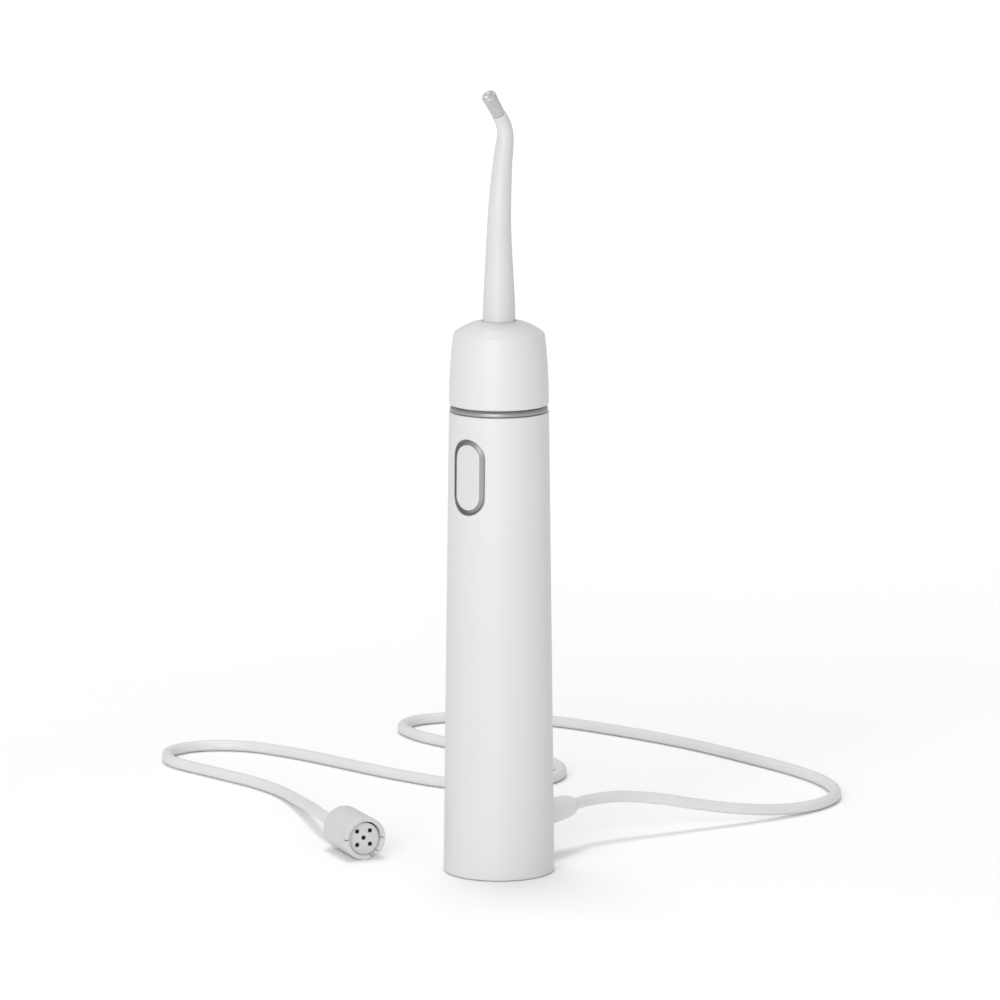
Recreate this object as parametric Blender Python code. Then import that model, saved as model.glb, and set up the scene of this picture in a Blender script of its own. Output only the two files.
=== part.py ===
"""Handheld ultrasonic scaler standing on its base, with its lead and plug.

Metres, +Z up. The body's axis is the Z axis, the push button faces -Y and the lead leaves toward +Y.
Lengths in the constants and helpers are millimetres; MM turns them into metres.
"""

import math

import bmesh
import bpy
from mathutils import Vector

MM = 0.001
GAP = 0.3

# body shell
BASE_R = 14.0
TOP_R = 12.5
BODY_Z0 = 0.2
BODY_TOP = 117.3
WALL = 1.5
SHOULDER_Z = 114.0
SPIGOT_R = 10.9
SPIGOT_BORE = 9.4
SPIGOT_TOP = 127.6

# base
PAD_R = 11.7
PAD_H = 1.2
CAP_Z0 = 1.5
CAP_Z1 = 4.5
CAP_R = 12.1
CAP_SCREW_X = 8.0

# accent ring and nose
RING_Z0 = 117.6
RING_Z1 = 118.8
RING_R = 12.25
RING_SLOPE = 0.45
RING_BORE = 11.2
NOSE_Z0 = 119.1
NOSE_TOP = 140.05
NOSE_HOLE = 4.4

# push button
BUTTON_Z = 102.0
BEZEL_HALF = 4.85
BEZEL_STRAIGHT = 4.7
BEZEL_WIDTH = 1.15
BEZEL_LIP = 0.3
GROOVE = 0.6
CAP_GAP = 0.25
CAP_SINK = 0.05
FACE_CURVE = 0.35
LIP_SINK = 0.25
BEZEL_FOOT = -8.2
FLANGE_HALF = 6.2
CAP_BACK = -10.4
POST_R = 1.5
OUTLINE_POINTS = 36
BOARD_Y = -5.7

# bent tip, offsets along Y and heights along Z
TIP_FOOT = 131.5
FLANGE_H = 1.1
TIP_LINE = ((0.0, TIP_FOOT), (0.0, 140.0), (0.0, 150.0), (0.0, 160.0), (0.15, 166.0), (0.6, 172.0),
            (1.25, 178.0), (1.95, 182.3), (2.45, 185.0), (2.4, 187.2), (1.4, 189.6), (-0.2, 191.7))
TIP_ROWS = 26
TIP_AROUND = 24
TIP_RADII = ((TIP_FOOT, 4.15), (142.5, 4.05), (152.5, 3.55), (162.5, 3.05), (172.5, 2.7), (179.5, 2.4),
             (183.0, 2.28), (186.8, 2.02), (189.6, 1.88), (192.0, 1.8))
SLEEVE_FLANGE_R = 5.6
ROD_R = 0.9
ROD_FOOT_R = 1.35
WORK_BASE_R = 1.68
WORK_R = 1.9
WORK_LENGTH = 6.2
STEM_R = 1.0
STEM_LENGTH = 3.0
DISH_R = 1.45
DISH_DEPTH = 0.5

# ultrasonic stack
STACK_R = 6.0
STACK_BORE = 2.6
BACK_MASS_Z = 38.0
PIEZO_H = 2.5
ELECTRODE_H = 0.5
HORN_Z = 64.7

# lead
CORD_R = 1.5
WIRE_R = 0.45
BOARD_LEAD_R = 0.6
LEAD_Z = 11.4
LEAD_HOLE_R = 3.2
RELIEF_END = 30.4
RELIEF_NECK_R = 2.85
RELIEF_FLANGE_R = 3.7
ROUTE = (
    (0, RELIEF_END + GAP, LEAD_Z), (0, 37, 11.4), (2.6, 46.5, 11.1), (7.4, 57.5, 9.2), (12.2, 68.5, 6.4),
    (17, 79.7, 4), (21, 91.5, 2.3), (23.2, 104, 1.6), (21.6, 114.5, 1.5), (16.2, 123, 1.5),
    (7, 130.2, 1.5), (-6, 135.8, 1.5), (-22, 140.1, 1.5), (-50, 145.8, 1.5), (-80, 147.4, 1.5),
    (-97, 146.2, 1.5), (-110.5, 142.2, 1.5), (-121.5, 134, 1.5), (-127.6, 123, 1.5),
    (-125, 114, 1.5), (-115.5, 108.2, 1.5), (-100, 105.4, 1.5), (-80, 104.6, 1.5),
    (-66, 103.8, 1.5), (-57.2, 98.6, 1.5), (-52, 90, 1.5), (-52.4, 80.5, 1.5), (-57.6, 71.6, 1.5),
    (-68.5, 66, 1.5), (-86, 65.2, 1.5), (-128, 68.8, 1.5), (-143, 67, 1.5), (-152.6, 59.2, 1.5),
    (-154, 49.4, 1.5), (-146, 40.6, 1.5), (-129, 37, 1.5), (-110, 33.8, 1.5), (-97, 29.2, 1.6),
    (-83, 20.2, 2.5), (-70, 10, 4.2),
)
CORD_POINTS = 79
CABLE_Y = 4.8

# plug
PLUG_R = 5.5
PLUG_LENGTH = 16.4
PLUG_REAR = (-47.4, -5.2, 5.5)
PLUG_TURN = -28.5
PLUG_RECESS = 1.2
PLUG_NECK = 3.0
KEY_WAY = 30.0
KEY_WIDTH = 2.6
KEY_DEPTH = 2.4
SLIT_WIDTH = 0.4
SLIT_DEPTH = 1.6
INSERT_R = 4.15
PIN_PITCH = 1.75
PIN_HOLE = 0.58

for _old in list(bpy.data.objects):
    bpy.data.objects.remove(_old, do_unlink=True)


def material(name, colour, roughness, metallic=0.0):
    """A plain surface with its own colour."""
    made = bpy.data.materials.new(name)
    made.use_nodes = True
    shader = made.node_tree.nodes["Principled BSDF"]
    shader.inputs["Base Color"].default_value = (*colour, 1.0)
    shader.inputs["Roughness"].default_value = roughness
    shader.inputs["Metallic"].default_value = metallic
    made.diffuse_color = (*colour, 1.0)
    return made


WHITE = (0.78, 0.78, 0.78)
SOFT_WHITE = (0.74, 0.74, 0.74)
STEEL = (0.52, 0.52, 0.53)
DARK = (0.05, 0.05, 0.05)
TRIM = (0.42, 0.42, 0.43)
COPPER = (0.7, 0.38, 0.2)
CERAMIC = (0.34, 0.3, 0.24)
CORD_WHITE = (0.72, 0.72, 0.72)
PLUG_GREY = (0.7, 0.7, 0.7)
SLEEVE_WHITE = (0.82, 0.82, 0.82)
AMBER = (0.75, 0.6, 0.25)
GOLD = (0.75, 0.6, 0.3)
GREEN = (0.02, 0.16, 0.07)
RED = (0.5, 0.05, 0.04)


def finish(name, mesh, look, smooth=32.0):
    """Link the mesh under its name with its own material."""
    made = bpy.data.objects.new(name, mesh)
    bpy.context.scene.collection.objects.link(made)
    mesh.materials.append(material(name + "_surface", *look))
    mesh.shade_smooth()
    mesh.set_sharp_from_angle(angle=math.radians(smooth))
    return made


def loft(name, loops, look, closed=False, smooth=32.0):
    """One closed body through loops of equal length; a loop of one point is a pole."""
    bm = bmesh.new()
    rows = [[bm.verts.new(Vector(p) * MM) for p in loop] for loop in loops]
    pairs = list(zip(rows, rows[1:]))
    if closed:
        pairs.append((rows[-1], rows[0]))
    for a, b in pairs:
        n = max(len(a), len(b))
        for i in range(n):
            j = (i + 1) % n
            if len(a) == 1:
                bm.faces.new((a[0], b[j], b[i]))
            elif len(b) == 1:
                bm.faces.new((a[i], a[j], b[0]))
            else:
                bm.faces.new((a[i], a[j], b[j], b[i]))
    if not closed:
        for end in (rows[0], rows[-1]):
            if len(end) > 2:
                bm.faces.new(end)
    bmesh.ops.recalc_face_normals(bm, faces=bm.faces)
    mesh = bpy.data.meshes.new(name)
    bm.to_mesh(mesh)
    bm.free()
    return finish(name, mesh, look, smooth)


def ring_loop(radius, height, count):
    """Points of a level circle about the Z axis, or its centre."""
    if radius <= 0:
        return [(0.0, 0.0, height)]
    step = 2 * math.pi / count
    return [(radius * math.cos(i * step), radius * math.sin(i * step), height) for i in range(count)]


def turned(name, profile, look, count=48, closed=False, smooth=32.0):
    """A body of revolution about Z from (radius, height) pairs."""
    return loft(name, [ring_loop(r, z, count) for r, z in profile], look, closed, smooth)


def tube_ring(name, inner, outer, z0, z1, look, count=32):
    """A flat ring with a small edge bevel outside."""
    c = min(0.15, (z1 - z0) / 4)
    profile = ((inner, z0), (outer - c, z0), (outer, z0 + c), (outer, z1 - c), (outer - c, z1), (inner, z1))
    return turned(name, profile, look, count, closed=True)


def block(name, low, high, look, bevel=0.2):
    """A box between two corners, with chamfered edges."""
    bm = bmesh.new()
    bmesh.ops.create_cube(bm, size=1.0)
    low, high = Vector(low), Vector(high)
    for v in bm.verts:
        v.co = Vector(((v.co[k] + 0.5) * (high[k] - low[k]) + low[k]) * MM for k in range(3))
    if bevel:
        bmesh.ops.bevel(bm, geom=list(bm.edges), offset=bevel * MM, segments=1, affect="EDGES")
    bmesh.ops.recalc_face_normals(bm, faces=bm.faces)
    mesh = bpy.data.meshes.new(name)
    bm.to_mesh(mesh)
    bm.free()
    return finish(name, mesh, look)


def cut(target, tool, how="DIFFERENCE"):
    """Cut one body with another, which stays hidden."""
    tool.hide_render = True
    tool.display_type = "WIRE"
    step = target.modifiers.new(tool.name, "BOOLEAN")
    step.operation = how
    step.solver = "EXACT"
    step.object = tool
    return step


def body_radius(z):
    """Outer radius of the shell at a height."""
    return BASE_R + (TOP_R - BASE_R) * z / BODY_TOP


def stadium(half, straight, count):
    """A rounded slot outline as (x, z) pairs, wound evenly."""
    points = []
    for i in range(count):
        turn = 2 * math.pi * (i + 0.5) / count
        x, z = half * math.cos(turn), half * math.sin(turn)
        points.append((x, z + (straight if turn < math.pi else -straight)))
    return points


def slot_loop(half, straight, y):
    """The outline at one depth."""
    return [(x, y, BUTTON_Z + z) for x, z in stadium(half, straight, OUTLINE_POINTS)]


def face_loop(half, straight, sink):
    """The outline on the button's face, which curves less than the shell, sunk from its foremost line."""
    points = []
    for x, z in stadium(half, straight, OUTLINE_POINTS):
        r = body_radius(BUTTON_Z + z)
        drop = r - math.sqrt(r * r - x * x)
        points.append((x, sink + FACE_CURVE * drop - r, BUTTON_Z + z))
    return points


def skin_loop(half, straight, raise_by):
    """The outline laid on the shell's outer surface."""
    points = []
    for x, z in stadium(half, straight, OUTLINE_POINTS):
        r = body_radius(BUTTON_Z + z)
        points.append((x, -math.sqrt(r * r - x * x) - raise_by, BUTTON_Z + z))
    return points


def smooth_line(points, steps):
    """A centripetal curve through the points."""
    pts = [Vector(p) for p in points]
    pts = [2 * pts[0] - pts[1]] + pts + [2 * pts[-1] - pts[-2]]
    line = []
    for i in range(1, len(pts) - 2):
        p0, p1, p2, p3 = pts[i - 1:i + 3]
        t0 = 0.0
        t1 = t0 + math.sqrt((p1 - p0).length)
        t2 = t1 + math.sqrt((p2 - p1).length)
        t3 = t2 + math.sqrt((p3 - p2).length)
        for k in range(steps):
            t = t1 + (t2 - t1) * k / steps
            a1 = p0 * ((t1 - t) / (t1 - t0)) + p1 * ((t - t0) / (t1 - t0))
            a2 = p1 * ((t2 - t) / (t2 - t1)) + p2 * ((t - t1) / (t2 - t1))
            a3 = p2 * ((t3 - t) / (t3 - t2)) + p3 * ((t - t2) / (t3 - t2))
            b1 = a1 * ((t2 - t) / (t2 - t0)) + a2 * ((t - t0) / (t2 - t0))
            b2 = a2 * ((t3 - t) / (t3 - t1)) + a3 * ((t - t1) / (t3 - t1))
            line.append(b1 * ((t2 - t) / (t2 - t1)) + b2 * ((t - t1) / (t2 - t1)))
    line.append(pts[-2])
    return line


def evenly(line, count):
    """The same line as points at even distances."""
    ends = [0.0]
    for a, b in zip(line, line[1:]):
        ends.append(ends[-1] + (b - a).length)
    out, j = [], 0
    for i in range(count):
        want = ends[-1] * i / (count - 1)
        while j < len(line) - 2 and ends[j + 1] < want:
            j += 1
        share = (want - ends[j]) / (ends[j + 1] - ends[j])
        out.append(line[j].lerp(line[j + 1], min(max(share, 0.0), 1.0)))
    return out


def tube(name, points, radius, look, around=2):
    """A round cable along the points."""
    data = bpy.data.curves.new(name, "CURVE")
    data.dimensions = "3D"
    line = data.splines.new("POLY")
    line.points.add(len(points) - 1)
    for spot, p in zip(line.points, points):
        spot.co = (p[0] * MM, p[1] * MM, p[2] * MM, 1.0)
    data.bevel_depth = radius * MM
    data.bevel_resolution = around
    data.use_fill_caps = True
    data.materials.append(material(name + "_surface", *look))
    made = bpy.data.objects.new(name, data)
    bpy.context.scene.collection.objects.link(made)
    return made


def read_off(pairs, at):
    """Straight-line reading of (position, value) pairs."""
    for (a, u), (b, v) in zip(pairs, pairs[1:]):
        if at <= b:
            return u + (v - u) * max(0.0, (at - a) / (b - a))
    return pairs[-1][1]


def level_ring(centre, along, radius, count):
    """A circle square to a direction in the YZ plane."""
    across = Vector((0.0, along.z, -along.y))
    out = []
    for i in range(count):
        turn = 2 * math.pi * i / count
        out.append(centre + Vector((1, 0, 0)) * radius * math.cos(turn) + across * radius * math.sin(turn))
    return out


# ---- shell, base and foot ----
housing_profile = (
    (BASE_R - 0.25, BODY_Z0), (body_radius(0.6), 0.6), (body_radius(60.0), 60.0),
    (TOP_R - 0.02, BODY_TOP - 0.1), (TOP_R - 0.15, BODY_TOP), (SPIGOT_R, BODY_TOP),
    (SPIGOT_R, SPIGOT_TOP - 0.3), (SPIGOT_R - 0.3, SPIGOT_TOP), (SPIGOT_BORE, SPIGOT_TOP),
    (SPIGOT_BORE, SHOULDER_Z), (body_radius(SHOULDER_Z - 1.5) - WALL, SHOULDER_Z - 1.5),
    (body_radius(BODY_Z0) - WALL, BODY_Z0),
)
housing = turned("body_housing", housing_profile, (WHITE, 0.42), count=80, closed=True)
button_cutter = loft(
    "button_opening_cutter",
    [slot_loop(BEZEL_HALF + GAP, BEZEL_STRAIGHT, y) for y in (-16.0, -7.5)], (WHITE, 0.5))
cut(housing, button_cutter)
lead_opening = ((LEAD_HOLE_R, -4.0), (LEAD_HOLE_R, 4.0))
lead_cutter = turned("lead_opening_cutter", lead_opening, (WHITE, 0.5), count=32)
lead_cutter.rotation_euler = (math.pi / 2, 0, 0)
lead_cutter.location = (0, 13.0 * MM, LEAD_Z * MM)
cut(housing, lead_cutter)

cap_profile = ((0, CAP_Z0), (CAP_R - 0.2, CAP_Z0), (CAP_R, CAP_Z0 + 0.2), (CAP_R, CAP_Z1 - 0.2),
               (CAP_R - 0.2, CAP_Z1), (0, CAP_Z1))
base_cap = turned("base_cap", cap_profile, (SOFT_WHITE, 0.5), count=48)
for side, x in (("left", -CAP_SCREW_X), ("right", CAP_SCREW_X)):
    profile = ((2.1, CAP_Z0 - 1), (2.1, CAP_Z0 + 1.5), (1.25, CAP_Z0 + 1.5), (1.25, CAP_Z1 + 1))
    seat = turned("cap_seat_cutter_" + side, profile, (WHITE, 0.5), count=24)
    seat.location.x = x * MM
    cut(base_cap, seat)
    profile = ((0, CAP_Z0 + 0.2), (1.7, CAP_Z0 + 0.2), (1.7, CAP_Z0 + 1.2), (0.9, CAP_Z0 + 1.2),
               (0.9, 9.2), (0, 9.6))
    screw = turned("cap_screw_" + side, profile, (STEEL, 0.3, 1.0), count=20)
    screw.location.x = x * MM

pad_profile = ((0, 0), (PAD_R - 0.3, 0), (PAD_R, 0.3), (PAD_R, PAD_H), (0, PAD_H))
turned("foot_pad", pad_profile, (DARK, 0.8), count=48)

# ---- inner chassis ----
chassis_profile = ((0, 4.8), (11.6, 4.8), (11.6, 7.4), (10.4, 8.4), (10.4, 110.0), (9.2, 110.0),
                   (9.2, 7.4), (0, 7.4))
chassis = turned("inner_chassis", chassis_profile, (SOFT_WHITE, 0.55), count=40)
front_cutter = block("chassis_front_cutter", (-14, -14, 7.4), (14, -1.5, 112), (WHITE, 0.5), bevel=0)
cut(chassis, front_cutter)
tail_cutter = block("chassis_lead_cutter", (-4.8, 7.5, 7.4), (4.8, 12.5, 17.0), (WHITE, 0.5), bevel=0)
cut(chassis, tail_cutter)
for side, x in (("left", -CAP_SCREW_X), ("right", CAP_SCREW_X)):
    hole = turned("chassis_hole_cutter_" + side, ((1.2, 4.0), (1.2, 9.4)), (WHITE, 0.5), count=16)
    hole.location.x = x * MM
    cut(chassis, hole)

# ---- accent ring, nose and seal ----
ring_profile = ((RING_BORE, RING_Z0), (RING_R - 0.1, RING_Z0), (RING_R, RING_Z0 + 0.1),
                (RING_R, RING_Z1 - RING_SLOPE), (RING_R - RING_SLOPE, RING_Z1), (RING_BORE, RING_Z1))
turned("accent_ring", ring_profile, (TRIM, 0.28, 1.0), count=80, closed=True)
nose_profile = (
    (12.46, NOSE_Z0), (12.48, NOSE_Z0 + 0.2), (12.37, 125.0), (12.12, 129.5), (11.9, 132.5),
    (11.65, 135.0), (11.3, 136.9), (11.1, 137.2), (9.8, 138.1), (8.4, 138.85), (6.3, 139.7),
    (NOSE_HOLE + 0.1, NOSE_TOP - 0.02),
    (NOSE_HOLE, NOSE_TOP), (NOSE_HOLE, 138.4), (9.7, 136.0), (9.7, 131.0), (11.2, 129.5),
    (11.2, NOSE_Z0),
)
turned("nose_cone", nose_profile, (WHITE, 0.42), count=64, closed=True)
seal_loops = []
for k in range(8):
    a = 2 * math.pi * k / 8
    seal_loops.append(ring_loop(10.15 + 0.55 * math.cos(a), 128.5 + 0.55 * math.sin(a), 32))
loft("nose_seal", seal_loops, (DARK, 0.7), closed=True)

# ---- bent tip ----
tip_line = evenly(smooth_line([(0.0, y, z) for y, z in TIP_LINE], 10), TIP_ROWS)
outer_loops, inner_loops = [], []
for i, p in enumerate(tip_line):
    ahead = (tip_line[min(i + 1, TIP_ROWS - 1)] - tip_line[max(i - 1, 0)]).normalized()
    outer = read_off(TIP_RADII, p.z)
    outer_loops.append(level_ring(p, ahead, outer, TIP_AROUND))
    inner_loops.append(level_ring(p, ahead, max(1.35, min(2.9, outer - 1.0)), TIP_AROUND))
up = Vector((0, 0, 1))
flange = []
flange_top = TIP_FOOT + FLANGE_H
for z, r in ((TIP_FOOT, SLEEVE_FLANGE_R), (flange_top, SLEEVE_FLANGE_R), (flange_top, 4.2)):
    flange.append(level_ring(Vector((0, 0, z)), up, r, TIP_AROUND))
loft("tip_sleeve", flange + outer_loops[1:] + inner_loops[::-1], (SLEEVE_WHITE, 0.3), closed=True)

tip_end = tip_line[-1]
tip_way = (tip_line[-1] - tip_line[-3]).normalized()
stem_foot = tip_end - tip_way * STEM_LENGTH
work_foot = STEM_LENGTH + GAP
work_face = work_foot + WORK_LENGTH
work_steps = ((0.0, STEM_R), (work_foot, STEM_R), (work_foot, WORK_BASE_R - 0.12),
              (work_foot + 0.15, WORK_BASE_R), (work_face - 1.6, WORK_BASE_R + 0.14),
              (work_face - 1.1, WORK_R - 0.02), (work_face - 0.25, WORK_R), (work_face, WORK_R - 0.25),
              (work_face, DISH_R), (work_face - DISH_DEPTH, DISH_R - 0.25))
work_loops = [level_ring(stem_foot + tip_way * s, tip_way, r, TIP_AROUND) for s, r in work_steps]
loft("working_tip", work_loops, (STEEL, 0.3, 1.0))

rod_loops = []
for z in (123.0, 127.0, 131.0):
    rod_loops.append(level_ring(Vector((0, 0, z)), up, ROD_FOOT_R if z < 130 else ROD_R, 12))
rod_line = [p for p in tip_line if p.z < stem_foot.z - 0.6]
for i, p in enumerate(rod_line[1:-1], 1):
    rod_loops.append(level_ring(p, (rod_line[i + 1] - rod_line[i - 1]).normalized(), ROD_R, 12))
loft("tip_rod", rod_loops, (STEEL, 0.3, 1.0))

# ---- push button, bezel and switch ----
bezel_in = BEZEL_HALF - BEZEL_WIDTH
bezel_loops = [
    skin_loop(BEZEL_HALF, BEZEL_STRAIGHT, -0.03),
    skin_loop(BEZEL_HALF - BEZEL_LIP, BEZEL_STRAIGHT, -0.03),
    skin_loop(BEZEL_HALF - BEZEL_LIP, BEZEL_STRAIGHT, -GROOVE),
    face_loop(bezel_in, BEZEL_STRAIGHT, CAP_SINK + LIP_SINK),
    slot_loop(bezel_in, BEZEL_STRAIGHT, BEZEL_FOOT), slot_loop(FLANGE_HALF, BEZEL_STRAIGHT, BEZEL_FOOT),
    slot_loop(FLANGE_HALF, BEZEL_STRAIGHT, BEZEL_FOOT - 0.8),
    slot_loop(BEZEL_HALF, BEZEL_STRAIGHT, BEZEL_FOOT - 0.8),
]
loft("button_bezel", bezel_loops, (TRIM, 0.28, 1.0), closed=True)
cap_half = bezel_in - CAP_GAP
cap_loops = [
    slot_loop(POST_R, 0.0, CAP_BACK + 0.9), slot_loop(POST_R, 0.0, CAP_BACK),
    slot_loop(cap_half, BEZEL_STRAIGHT, CAP_BACK),
    face_loop(cap_half, BEZEL_STRAIGHT, CAP_SINK + 0.2),
    face_loop(cap_half - 0.2, BEZEL_STRAIGHT, CAP_SINK),
]
for share in (0.6, 0.2):
    cap_loops.append(face_loop(cap_half * share, BEZEL_STRAIGHT, CAP_SINK))
loft("button_cap", cap_loops, (WHITE, 0.4))
turned("switch_plunger", ((0, 0), (0.9, 0), (0.9, 0.5), (0.7, 0.65), (0, 0.65)), (DARK, 0.5), count=20)
plunger = bpy.data.objects["switch_plunger"]
plunger.rotation_euler = (math.pi / 2, 0, 0)
plunger.location = (0, -8.55 * MM, BUTTON_Z * MM)
block("tact_switch", (-3, -8.2, BUTTON_Z - 3), (3, BOARD_Y - 1.3, BUTTON_Z + 3), (DARK, 0.45), 0.15)
board = block("control_board", (-4.6, BOARD_Y - 1.0, 84), (4.6, BOARD_Y, 111), (GREEN, 0.5), 0.0)
for name, z in (("lower", 86.0), ("upper", 109.0)):
    hole = turned("board_hole_cutter_" + name, ((0.9, -2), (0.9, 2)), (WHITE, 0.5), count=16)
    hole.rotation_euler = (math.pi / 2, 0, 0)
    hole.location = (0, (BOARD_Y - 0.5) * MM, z * MM)
    cut(board, hole)
    profile = ((0, -1.6), (0.6, -1.6), (0.6, 1.3), (1.2, 1.3), (1.2, 1.9), (0, 1.9))
    screw = turned("board_screw_" + name, profile, (STEEL, 0.3, 1.0), count=16)
    screw.rotation_euler = (math.pi / 2, 0, 0)
    screw.location = (0, BOARD_Y * MM, z * MM)

# ---- ultrasonic stack ----
tube_ring("back_mass", STACK_BORE, STACK_R, BACK_MASS_Z, BACK_MASS_Z + 12.0, (STEEL, 0.3, 1.0))
level = BACK_MASS_Z + 12.0 + GAP
for n in range(1, 5):
    tube_ring("electrode_%d" % n, STACK_BORE, STACK_R + 0.3, level, level + ELECTRODE_H,
              (COPPER, 0.3, 1.0), 24)
    level += ELECTRODE_H + GAP
    tube_ring("piezo_ring_%d" % n, STACK_BORE, STACK_R, level, level + PIEZO_H, (CERAMIC, 0.6), 24)
    level += PIEZO_H + GAP
horn_profile = (
    (0, 73.6), (2.0, 73.0), (2.0, HORN_Z), (STACK_R, HORN_Z), (STACK_R, 71.8), (7.2, 72.0), (7.2, 73.8),
    (5.2, 74.0), (5.2, 78.0), (4.3, 84.0), (3.6, 90.0), (3.2, 95.0), (3.2, 129.6), (2.9, 130.0),
    (1.7, 130.0), (1.7, 122.4), (0, 121.6),
)
turned("horn", horn_profile, (STEEL, 0.3, 1.0), count=32)
bolt_profile = ((0, 34.4), (3.4, 34.4), (3.6, 34.6), (3.6, 37.7), (1.6, 37.7), (1.6, 72.4), (0, 72.7))
turned("stack_bolt", bolt_profile, (STEEL, 0.3, 1.0), count=20)
turned("insulating_sleeve", ((1.9, 50.4), (2.3, 50.4), (2.3, 64.2), (1.9, 64.2)),
       (AMBER, 0.4), count=20, closed=True)
tube_ring("rear_mount_ring", 6.35, 8.85, 42.0, 45.5, (DARK, 0.8))
tube_ring("front_mount_ring", 5.6, 8.85, 74.3, 77.6, (DARK, 0.8))

# ---- strain relief, inner cable and clamp ----
relief_profile = (
    (0, 9.4), (RELIEF_FLANGE_R - 0.2, 9.4), (RELIEF_FLANGE_R, 9.6), (RELIEF_FLANGE_R, 11.0),
    (RELIEF_NECK_R, 11.0), (RELIEF_NECK_R, 14.15), (3.5, 14.2), (3.5, 15.0), (3.35, 20.5), (3.1, 25.5),
    (2.85, 28.0), (2.4, 29.5), (1.7, RELIEF_END), (0, RELIEF_END),
)
relief = turned("strain_relief", relief_profile, (SOFT_WHITE, 0.45), count=32)
relief.rotation_euler = (-math.pi / 2, 0, 0)
relief.location.z = LEAD_Z * MM
inner_route = ((0, 9.1, LEAD_Z), (0, 7.8, LEAD_Z + 0.1), (0, 5.6, 12.8), (0, CABLE_Y, 15.5),
               (0, CABLE_Y, 20), (0, CABLE_Y, 25))
tube("inner_cable", evenly(smooth_line(inner_route, 8), 14), CORD_R, (CORD_WHITE, 0.5))
clamp = block("cable_clamp", (-4.2, 2.2, 19.0), (4.2, 8.0, 22.6), (SOFT_WHITE, 0.5), 0.3)
bore = ((CORD_R + GAP, 15.0), (CORD_R + GAP, 27.0))
clamp_bore = turned("clamp_bore_cutter", bore, (WHITE, 0.5), count=24)
clamp_bore.location.y = CABLE_Y * MM
cut(clamp, clamp_bore)
lead_ends = (("lead_live", -1), ("lead_return", 1))
for name, side in lead_ends:
    way = ((side * 0.8, CABLE_Y, 25.6), (side * 3, 2, 29), (side * 6, -4, 33), (side * 6.6, -7.2, 38),
           (side * 6.6, -7.2, 46.5), (side * 5.2, -5.0, 50.8))
    points = evenly(smooth_line(way, 6), 12)
    tube(name, points, WIRE_R, (RED if side < 0 else DARK, 0.5), 1)
board_way = ((0, 3.6, 26.2), (0, -1, 28), (0, -8, 33), (0, -9.7, 41), (0, -9.7, 78), (0, -6.4, 83.0))
tube("board_lead", evenly(smooth_line(board_way, 6), 16), BOARD_LEAD_R, (DARK, 0.5), 1)

# ---- plug ----
plug = bpy.data.objects.new("plug_frame", None)
bpy.context.scene.collection.objects.link(plug)
plug.location = Vector(PLUG_REAR) * MM
plug.rotation_euler = (0, math.pi / 2, math.radians(PLUG_TURN))
shell_profile = (
    (1.9, 0.0), (PLUG_R - 0.45, 0.0), (PLUG_R - 0.12, 0.15), (PLUG_R, 0.5), (PLUG_R, PLUG_LENGTH - 0.3),
    (PLUG_R - 0.3, PLUG_LENGTH), (INSERT_R + GAP, PLUG_LENGTH), (INSERT_R + GAP, 6.0), (1.9, 6.0),
)
shell = turned("plug_shell", shell_profile, (PLUG_GREY, 0.4), count=48, closed=True)
insert_face = PLUG_LENGTH - PLUG_RECESS
insert_profile = ((0, 6.3), (INSERT_R - 0.1, 6.3), (INSERT_R, 6.4), (INSERT_R, insert_face - 0.15),
                  (INSERT_R - 0.15, insert_face), (0, insert_face))
insert = turned("plug_insert", insert_profile, (PLUG_GREY, 0.45), count=32)
spots = [(0.0, 0.0)] + [(sx * PIN_PITCH, sy * PIN_PITCH) for sx in (-1, 1) for sy in (-1, 1)]
for n, (x, y) in enumerate(spots, 1):
    bore = ((PIN_HOLE, 5.0), (PIN_HOLE, PLUG_LENGTH + 1))
    hole = turned("pin_cutter_%d" % n, bore, (WHITE, 0.5), count=14)
    hole.location = (x * MM, y * MM, 0)
    hole.parent = plug
    cut(insert, hole)
    pin = turned("plug_contact_%d" % n, ((0, 6.6), (0.24, 6.6), (0.24, 12.0), (0, 12.2)),
                 (GOLD, 0.25, 1.0), count=8)
    pin.location = (x * MM, y * MM, 0)
    pin.parent = plug
back_profile = ((0, -PLUG_NECK), (1.9, -PLUG_NECK), (2.4, -2.7), (2.6, -2.2), (2.6, -0.3), (1.55, -0.3),
                (1.55, 3.0), (0, 3.0))
plug_back = turned("plug_back", back_profile, (PLUG_GREY, 0.5), count=32)
beyond = PLUG_LENGTH + 1
key_low = (2, -KEY_WIDTH / 2, PLUG_LENGTH - KEY_DEPTH)
key = block("key_way_cutter", key_low, (8, KEY_WIDTH / 2, beyond), (WHITE, 0.5), 0)
key.rotation_euler.z = math.radians(KEY_WAY)
slit_low = (-SLIT_WIDTH / 2, -7, PLUG_LENGTH - SLIT_DEPTH)
slits = block("slit_cutter", slit_low, (SLIT_WIDTH / 2, 7, beyond), (WHITE, 0.5), 0)
for tool in (key, slits):
    tool.parent = plug
    cut(shell, tool)
for piece in (shell, insert, plug_back):
    piece.parent = plug

# ---- cord ----
plug_way = Vector((math.cos(math.radians(PLUG_TURN)), math.sin(math.radians(PLUG_TURN)), 0))
cord_end = Vector(PLUG_REAR) - plug_way * (PLUG_NECK + GAP)
route = list(ROUTE) + [cord_end - plug_way * 8.0 - Vector((0, 0, 0.15)), cord_end]
tube("cord", evenly(smooth_line(route, 12), CORD_POINTS), CORD_R, (CORD_WHITE, 0.5))
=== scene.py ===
"""Looks for the ultrasonic scaler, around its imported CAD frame.

The frame is in metres. Lengths below are millimetres, in the same frame, and MM turns them into metres.
Only the floor and the lamps, at the end, are set in metres.
The body's axis is the Z axis, the push button faces -Y and the lead leaves toward +Y.
"""

import math

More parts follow.
